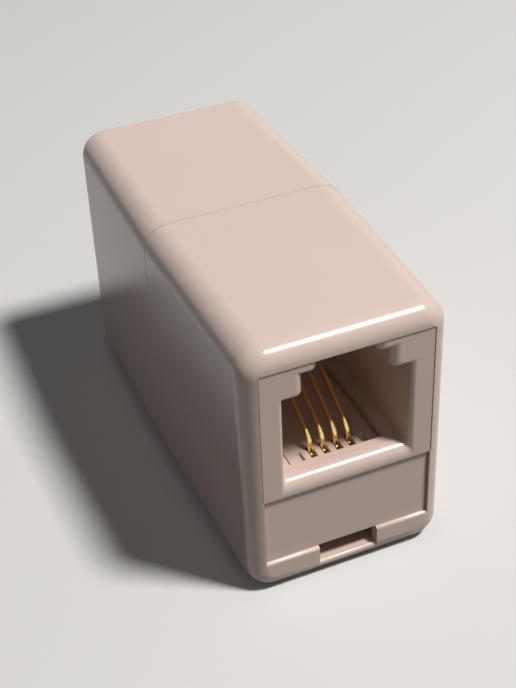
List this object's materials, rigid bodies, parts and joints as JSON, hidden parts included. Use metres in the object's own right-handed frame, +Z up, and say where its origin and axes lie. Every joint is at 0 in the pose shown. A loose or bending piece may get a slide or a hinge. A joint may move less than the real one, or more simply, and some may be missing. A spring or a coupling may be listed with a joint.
{
  "type": "telephone inline coupler",
  "caption": "Rounded moulded sleeve with a modular line jack in each end, wired through to join two line cords.",
  "frame": {"origin": "middle of the underside, half way between the two mouths", "axes": "+Y along the sleeve from the front mouth to the rear one, +Z up from the underside, +X across"},
  "size_m": [0.0164, 0.0356, 0.0219],
  "materials": {
    "sleeve_abs": "moulded, glossy almond ABS",
    "jack_abs": "moulded, glossy almond ABS",
    "keeper_abs": "moulded, glossy almond ABS",
    "contact_gold": "gold-plated spring wire",
    "ferrule_tin": "tinned crimp barrel",
    "lead_black_pvc": "extruded insulation",
    "lead_red_pvc": "extruded insulation",
    "lead_green_pvc": "extruded insulation",
    "lead_yellow_pvc": "extruded insulation"
  },
  "bodies": {
    "root": {"sleeve": "sleeve_abs", "front_jack_block": "jack_abs", "front_keeper": "keeper_abs", "front_contact_1": "contact_gold", "front_contact_2": "contact_gold", "front_contact_3": "contact_gold", "front_contact_4": "contact_gold", "front_ferrule_1": "ferrule_tin", "front_ferrule_2": "ferrule_tin", "front_ferrule_3": "ferrule_tin", "front_ferrule_4": "ferrule_tin", "rear_jack_block": "jack_abs", "rear_keeper": "keeper_abs", "rear_contact_1": "contact_gold", "rear_contact_2": "contact_gold", "rear_contact_3": "contact_gold", "rear_contact_4": "contact_gold", "rear_ferrule_1": "ferrule_tin", "rear_ferrule_2": "ferrule_tin", "rear_ferrule_3": "ferrule_tin", "rear_ferrule_4": "ferrule_tin", "lead_black": "lead_black_pvc", "lead_red": "lead_red_pvc", "lead_green": "lead_green_pvc", "lead_yellow": "lead_yellow_pvc"}
  },
  "joints": []
}
